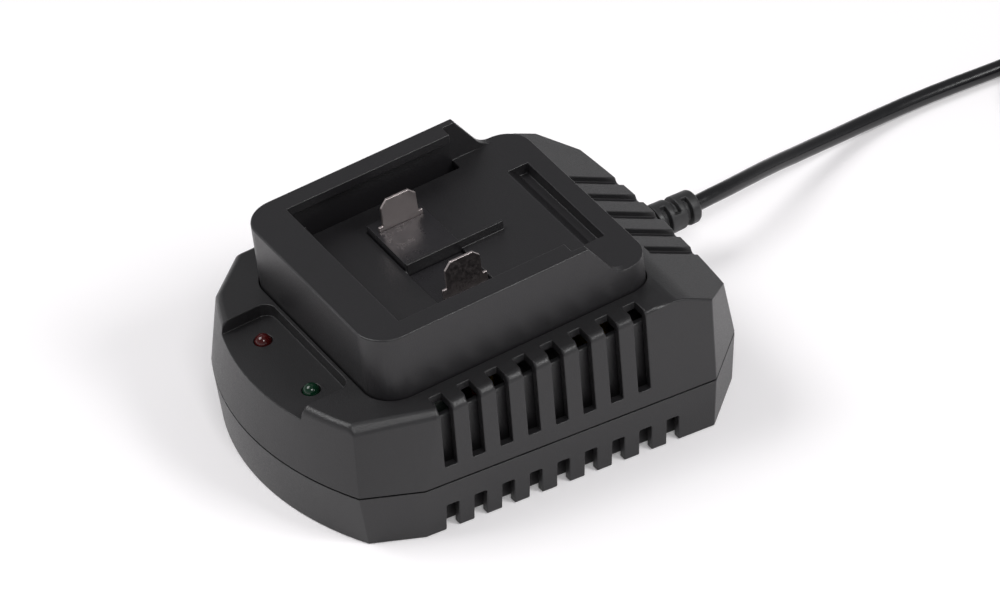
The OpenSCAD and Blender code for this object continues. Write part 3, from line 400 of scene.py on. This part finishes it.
def shell_edges(normals, middle, convex):
    """The outer edges of the housing are softer than the edges of its slots and grooves."""
    highest = max(n.z for n in normals)
    lowest = min(n.z for n in normals)
    on_top = middle.z > TOP_Z
    on_side = abs(middle.x) > SIDE_X
    if abs(middle.z - SEAM_Z) < SEAM_REACH and highest > LEVEL:
        return SEAM_EDGE
    if on_top and any(SLOPED[0] < n.z < SLOPED[1] for n in normals):
        runs_out = abs(middle.x) > RUN_OUT_X and middle.y > RUN_OUT_Y
        return 0.0 if runs_out else CHAMFER_EDGE
    if on_side and any(abs(n.y) > FACES_Y for n in normals):
        return SLOT_EDGE
    if not convex:
        return None
    if on_top and on_side and highest > NEARLY_LEVEL and abs(lowest) < UPRIGHT:
        return TOP_EDGE
    both_upright = lowest > -UPRIGHT and highest < UPRIGHT
    blunt = normals[0].dot(normals[1]) > BLUNT
    if both_upright and blunt and (on_side or middle.y < FRONT_Y):
        return CORNER_EDGE
    return None


def dock_edges(normals, middle, convex):
    """The outer top edges of the dock are soft enough to catch the light."""
    top_meets_wall = max(n.z for n in normals) > LEVEL and min(abs(n.z) for n in normals) < DRAFTED
    on_rim = middle.z > DOCK_TOP_Z and middle.y < DOCK_RAMP_Y
    outside = abs(middle.x) > DOCK_SIDE_X or middle.y < DOCK_FRONT_Y
    return DOCK_TOP_EDGE if convex and top_meets_wall and on_rim and outside else None


# ---- Pieces ---------------------------------------------------------------------------------

def add_piece(name, node, material, slot, width, special=None, under=True):
    return finish_piece(rounded(node, width, special, under), material, name, slot, node)


cord_obj, cord_length = add_cord()
add_piece("upper_shell", "upper_housing", HOUSING, "housing", 0.25, shell_edges)
add_piece("lower_shell", "lower_housing", HOUSING, "housing", 0.25, shell_edges)
add_piece("rail_dock", "battery_dock", DOCK, "dock", 0.3, dock_edges, under=False)
add_piece("holder_block", "terminal_holder", INSULATOR, "insulator", 0.2)
add_piece("left_blade", "left_terminal", NICKEL, "contact", 0.18)
add_piece("right_blade", "right_terminal", NICKEL, "contact", 0.18)
relief_obj = add_piece("relief_sleeve", "strain_relief", RELIEF, "cord_rubber", 0.4)
plug_obj = add_piece("plug_shell", "plug_body", PLUG, "plug_plastic", 0.8)
tie_obj = add_piece("coil_strap", "coil_tie", STRAP, "tie", 0.3)

for node, material in PLAIN.items():
    for holder in nodes[node].material_slots:
        holder.link = "OBJECT"
        holder.material = material


# ---- Floor and light ------------------------------------------------------------------------

FLOOR_SIZE = 12.0
FLOOR_DROP = 0.0002
FLOOR_COLOR = (0.9, 0.88, 0.893)
FLOOR_GLOW = 0.14
SKY_COLOR = (0.98, 0.98, 1.0, 1.0)
SKY_LOW = 0.58        # strength at the horizon
SKY_TOP = 0.24        # strength above SKY_FADE
SKY_FADE = 0.6
BACKDROP_TOP = 0.1    # the height, as a direction's Z, where the white backdrop ends
LAMP_TARGET = (0.0, 0.0, 0.03)


def rays_that_see(tree, *kinds):
    """1 for the kinds of ray that are named, and 0 for the light itself."""
    path = tree.nodes.new("ShaderNodeLightPath")
    out = path.outputs[kinds[0]]
    for kind in kinds[1:]:
        out = calculate(tree, "MAXIMUM", out, path.outputs[kind])
    return out


def add_floor():
    """Plain paper that keeps the shadow; a little of its own glow makes it white."""
    bpy.ops.mesh.primitive_plane_add(size=FLOOR_SIZE, location=(0, 0, -FLOOR_DROP))
    floor = bpy.context.object
    floor.name = "floor"
    paper = Shader("floor_paper", FLOOR_COLOR, 0.85, specular=0.0)
    seen = rays_that_see(paper.tree, "Is Camera Ray", "Is Glossy Ray", "Is Transmission Ray")
    paper.set(paper.bsdf, "Emission Color", WHITE)
    paper.link(calculate(paper.tree, "MULTIPLY", seen, FLOOR_GLOW), paper.bsdf, "Emission Strength")
    floor.data.materials.append(paper.mat)


def add_world():
    """A room whose backdrop is white up to the horizon and whose upper part is dim."""
    world = bpy.data.worlds.new("studio")
    scene.world = world
    world.use_nodes = True
    tree = world.node_tree
    direction = tree.nodes.new("ShaderNodeSeparateXYZ")
    tree.links.new(tree.nodes.new("ShaderNodeTexCoord").outputs["Generated"], direction.inputs[0])
    height = direction.outputs["Z"]

    room = tree.nodes["Background"]
    room.inputs["Color"].default_value = SKY_COLOR
    strength = ramp(tree, height, 0.0, SKY_FADE, SKY_LOW, SKY_TOP, "SMOOTHSTEP")
    tree.links.new(strength, room.inputs["Strength"])
    white = tree.nodes.new("ShaderNodeBackground")
    white.inputs["Color"].default_value = WHITE
    white.inputs["Strength"].default_value = 1.0

    backdrop = ramp(tree, height, 0.0, BACKDROP_TOP, 1.0, 0.0)
    mirrored = rays_that_see(tree, "Is Glossy Ray", "Is Transmission Ray")
    mirrored_white = calculate(tree, "MULTIPLY", mirrored, backdrop)
    mix = tree.nodes.new("ShaderNodeMixShader")
    seen = calculate(tree, "MAXIMUM", rays_that_see(tree, "Is Camera Ray"), mirrored_white)
    for out, socket in zip((seen, room.outputs[0], white.outputs[0]), mix.inputs):
        tree.links.new(out, socket)
    tree.links.new(mix.outputs[0], tree.nodes["World Output"].inputs["Surface"])


def add_softbox(name, place, side, power):
    """A square lamp that points at the charger."""
    data = bpy.data.lights.new(name, "AREA")
    data.shape = "SQUARE"
    data.size = side
    data.energy = power
    lamp = bpy.data.objects.new(name, data)
    lamp.location = place
    lamp.rotation_euler = (Vector(LAMP_TARGET) - Vector(place)).to_track_quat("-Z", "Y").to_euler()
    scene.collection.objects.link(lamp)


add_floor()
add_world()
add_softbox("key_right", (0.95, 0.62, 1.12), 0.5, 10.0)
add_softbox("key_front", (0.9, -0.3, 1.28), 0.4, 5.0)
add_softbox("front_left", (-0.6, -0.8, 1.43), 0.9, 14.0)

scene.view_settings.view_transform = "Standard"
